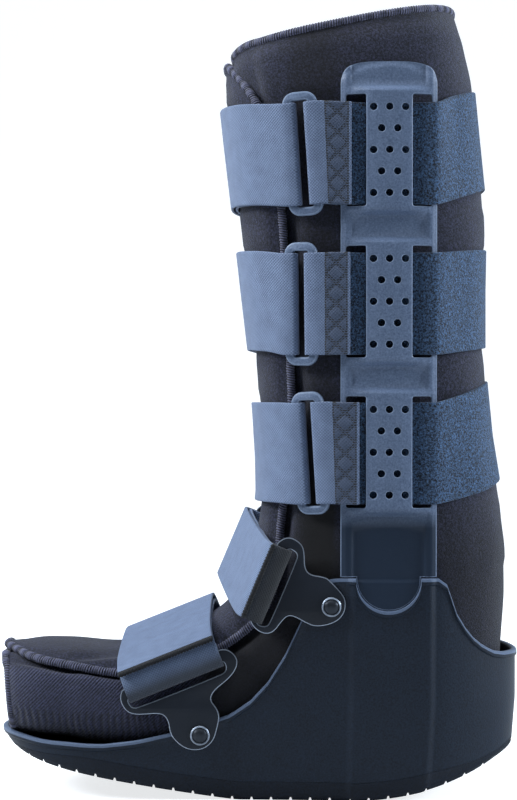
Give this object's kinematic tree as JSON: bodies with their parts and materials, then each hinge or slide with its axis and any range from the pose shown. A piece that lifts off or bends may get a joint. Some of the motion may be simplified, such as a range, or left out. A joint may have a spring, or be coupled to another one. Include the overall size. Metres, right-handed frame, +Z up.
{
  "type": "medical walking boot",
  "caption": "Tall walking brace boot with a rocker sole, slotted side uprights, a padded wrap liner and hook-and-loop straps on rings and slotted plates.",
  "frame": {"origin": "under the middle of the sole, on the surface that the boot stands on", "axes": "+X from the toe to the heel, +Y to the far side, which has no rings, +Z up along the leg"},
  "size_m": [0.2847, 0.137, 0.4274],
  "materials": {
    "sole_rubber": "moulded, matt",
    "shell_plastic": "fine moulded texture, satin",
    "liner_fleece": "brushed fleece over foam, overlocked edges",
    "woven_webbing": "close woven webbing",
    "pile_webbing": "fuzzy loop pile",
    "plate_metal": "dark coated plate with bright edges",
    "rivet_metal": "dark coated, domed head"
  },
  "bodies": {
    "root": {"outsole": "sole_rubber", "shell": "shell_plastic", "liner_foot": "liner_fleece", "liner_leg": "liner_fleece", "upright_near": "shell_plastic", "upright_far": "shell_plastic", "back_strap_1": "pile_webbing", "ring_1": "shell_plastic", "ring_tab_1": "woven_webbing", "front_strap_1": "woven_webbing", "back_strap_2": "pile_webbing", "ring_2": "shell_plastic", "ring_tab_2": "woven_webbing", "front_strap_2": "woven_webbing", "back_strap_3": "pile_webbing", "ring_3": "shell_plastic", "ring_tab_3": "woven_webbing", "front_strap_3": "woven_webbing", "ankle_strap": "woven_webbing", "ankle_plate_near": "plate_metal", "ankle_rivet_near": "rivet_metal", "ankle_plate_far": "plate_metal", "ankle_rivet_far": "rivet_metal", "forefoot_strap": "woven_webbing", "forefoot_plate_near": "plate_metal", "forefoot_rivet_near": "rivet_metal", "forefoot_plate_far": "plate_metal", "forefoot_rivet_far": "rivet_metal"}
  },
  "joints": []
}
